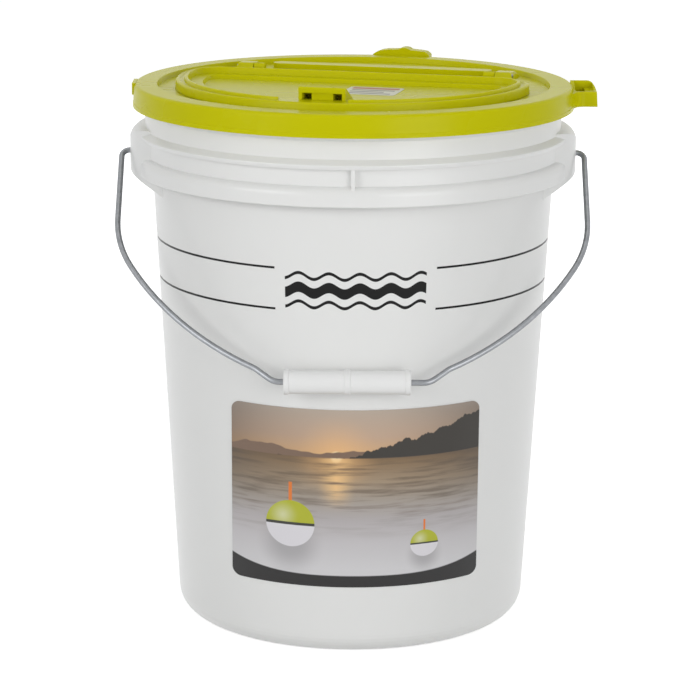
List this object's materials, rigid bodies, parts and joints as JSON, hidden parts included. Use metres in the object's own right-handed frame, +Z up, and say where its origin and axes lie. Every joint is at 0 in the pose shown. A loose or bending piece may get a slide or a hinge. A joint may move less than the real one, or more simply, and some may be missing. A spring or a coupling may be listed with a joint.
{
  "type": "bait bucket",
  "caption": "Tapered round bait pail with a wire bail, a lift-out foam liner and a push-on lid that has a D-shaped hinged hatch and a side pocket for a clip-on pump",
  "frame": {"origin": "middle of the pail's base, on the pail's axis, in the plane that the foot ring rests on", "axes": "+Z up the pail's axis, -Y to the front where the label is and the bail hangs, +X to the ear under the lid's side pocket"},
  "size_m": [0.3329, 0.3145, 0.3882],
  "materials": {
    "pail_plastic": "satin",
    "label_paper": "satin",
    "wire_steel": "satin",
    "grip_plastic": "semi_gloss",
    "liner_foam": "matte",
    "lid_plastic": "semi_gloss",
    "gasket_rubber": "matte"
  },
  "bodies": {
    "pail": {"pail_shell": "pail_plastic", "front_label": "label_paper"},
    "bail": {"bail_wire": "wire_steel"},
    "grip": {"bail_grip": "grip_plastic"},
    "liner": {"foam_liner": "liner_foam"},
    "lid": {"lid_frame": "lid_plastic", "lid_gasket": "gasket_rubber", "hinge_pins": "wire_steel"},
    "hatch": {"hatch_door": "lid_plastic"}
  },
  "joints": [
    {"name": "bail_swing", "type": "hinge", "parent": "pail", "child": "bail", "pos_m": [0, 0, 0.3285], "axis": [-1, 0, 0], "range_deg": [0, 110]},
    {"name": "grip_turn", "type": "hinge", "parent": "bail", "child": "grip", "pos_m": [0, -0.14234, 0.19725], "axis": [1, 0, 0], "continuous": true},
    {"name": "liner_lift", "type": "slide", "parent": "pail", "child": "liner", "axis": [0, 0, 1], "range_m": [0, 0.53]},
    {"name": "lid_lift", "type": "slide", "parent": "liner", "child": "lid", "axis": [0, 0, 1], "range_m": [0, 0.2]},
    {"name": "hatch_swing", "type": "hinge", "parent": "lid", "child": "hatch", "pos_m": [0.01447, 0.06029, 0.3769], "axis": [-0.9724, 0.2334, 0], "range_deg": [0, 105]}
  ]
}
